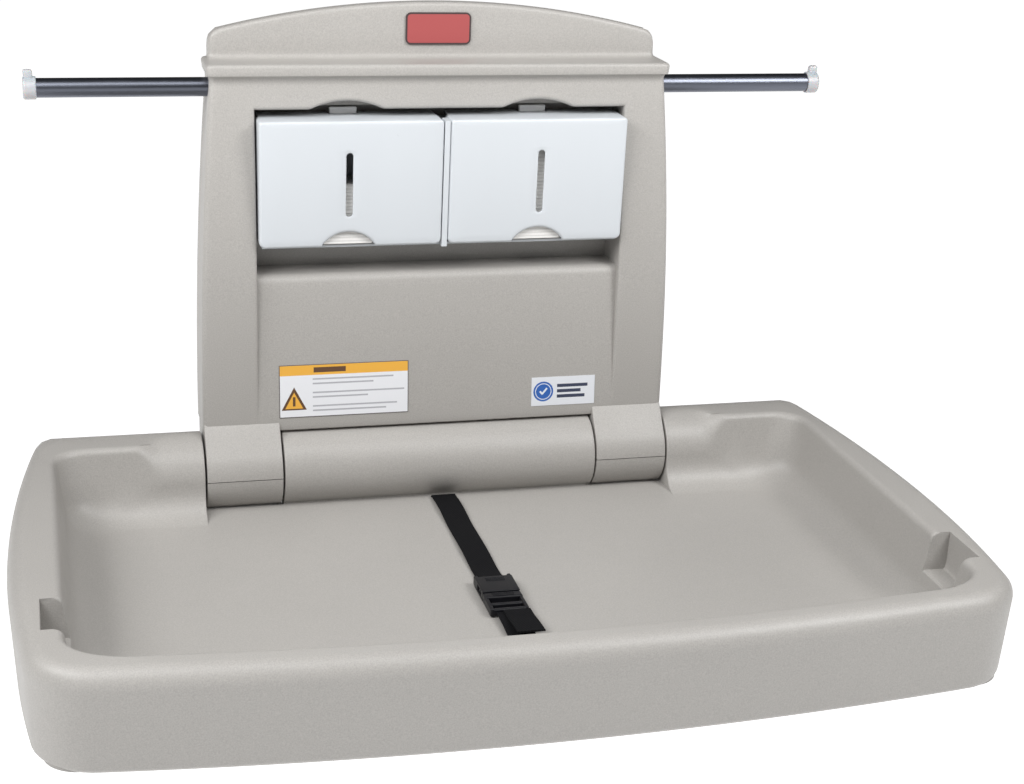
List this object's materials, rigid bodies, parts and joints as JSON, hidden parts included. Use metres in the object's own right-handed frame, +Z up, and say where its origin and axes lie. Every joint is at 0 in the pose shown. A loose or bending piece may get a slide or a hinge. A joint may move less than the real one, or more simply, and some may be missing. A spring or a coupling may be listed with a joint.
{
  "type": "wall-mounted changing table",
  "caption": "Wall-mounted fold-down changing table: a tray bed hinged under a panel with liner dispensers, a cross bar and a safety strap.",
  "frame": {"origin": "centre of the four wall-bolt holes, on the wall plane", "axes": "+X to the right seen from the room, +Y into the wall, +Z up; the bed is stored folded down, ready for use"},
  "size_m": [0.8436, 0.5554, 0.503],
  "materials": {
    "grey_moulding": "warm light grey moulded polyethylene with a fine grain",
    "base_moulding": "warm grey moulded cover",
    "white_moulding": "smooth cool white moulding",
    "zinc_steel": "zinc-plated steel",
    "bar_steel": "dark satin steel tube",
    "bar_cap": "translucent light grey plastic",
    "black_webbing": "woven black nylon webbing",
    "black_plastic": "black acetal",
    "rubber_pad": "black rubber",
    "nylon": "natural nylon",
    "paper": "folded absorbent paper",
    "badge": "plain dark red plate",
    "label": null
  },
  "bodies": {
    "wall_unit": {"wall_panel": "grey_moulding", "panel_screws": "zinc_steel", "mounting_frame": "zinc_steel", "bracket_bolts": "zinc_steel", "stop_pads": "rubber_pad", "support_bar": "bar_steel", "door_pins": "zinc_steel", "dispenser_housing": "white_moulding", "liner_stack_left": "paper", "liner_stack_right": "paper", "badge_plate": "badge", "notice_label": "label", "approval_sticker": "label", "hinge_bracket_right": "zinc_steel", "hinge_bracket_left": "zinc_steel", "hinge_bushes_right": "nylon", "hinge_bushes_left": "nylon", "hinge_damper_right": "black_plastic", "hinge_damper_left": "black_plastic", "knuckle_cover_right": "grey_moulding", "knuckle_cover_left": "grey_moulding", "bar_bracket_right": "zinc_steel", "bar_bracket_left": "zinc_steel", "bar_hook_right": "bar_cap", "bar_hook_left": "bar_cap", "latch_spring_right": "zinc_steel", "latch_spring_left": "zinc_steel"},
    "bed": {"bed_tray": "grey_moulding", "bed_base": "base_moulding", "base_screws": "zinc_steel", "arm_bolts": "zinc_steel", "strap_rear": "black_webbing", "strap_front": "black_webbing", "strap_anchor_rear": "zinc_steel", "strap_anchor_front": "zinc_steel", "buckle_socket": "black_plastic", "bed_arm_left": "zinc_steel", "bed_arm_right": "zinc_steel", "hinge_pin_left": "zinc_steel", "hinge_pin_right": "zinc_steel"},
    "buckle_clip": {"buckle_clip": "black_plastic", "strap_tail": "black_webbing"},
    "door_left": {"dispenser_door_left": "white_moulding"},
    "door_right": {"dispenser_door_right": "white_moulding"},
    "latch_left": {"latch_tab_left": "white_moulding"},
    "latch_right": {"latch_tab_right": "white_moulding"}
  },
  "joints": [
    {"name": "bed_fold", "type": "hinge", "parent": "wall_unit", "child": "bed", "pos_m": [0, -0.049, -0.219], "axis": [-1, 0, 0], "range_deg": [0, 90]},
    {"name": "door_left_tilt", "type": "hinge", "parent": "wall_unit", "child": "door_left", "pos_m": [-0.0915, -0.058, 0.016], "axis": [-1, 0, 0], "range_deg": [-35, 0]},
    {"name": "door_right_tilt", "type": "hinge", "parent": "wall_unit", "child": "door_right", "pos_m": [0.0915, -0.058, 0.016], "axis": [-1, 0, 0], "range_deg": [-35, 0]},
    {"name": "latch_left_press", "type": "slide", "parent": "wall_unit", "child": "latch_left", "axis": [0, 0, 1], "range_m": [-0.004, 0], "stiffness_N_per_m": 500, "springref_m": 0.002, "deforming": ["latch_spring_left"]},
    {"name": "latch_right_press", "type": "slide", "parent": "wall_unit", "child": "latch_right", "axis": [0, 0, 1], "range_m": [-0.004, 0], "stiffness_N_per_m": 500, "springref_m": 0.002, "deforming": ["latch_spring_right"]},
    {"name": "buckle_release", "type": "slide", "parent": "bed", "child": "buckle_clip", "axis": [0, 1, 0], "range_m": [-0.016, 0]}
  ]
}
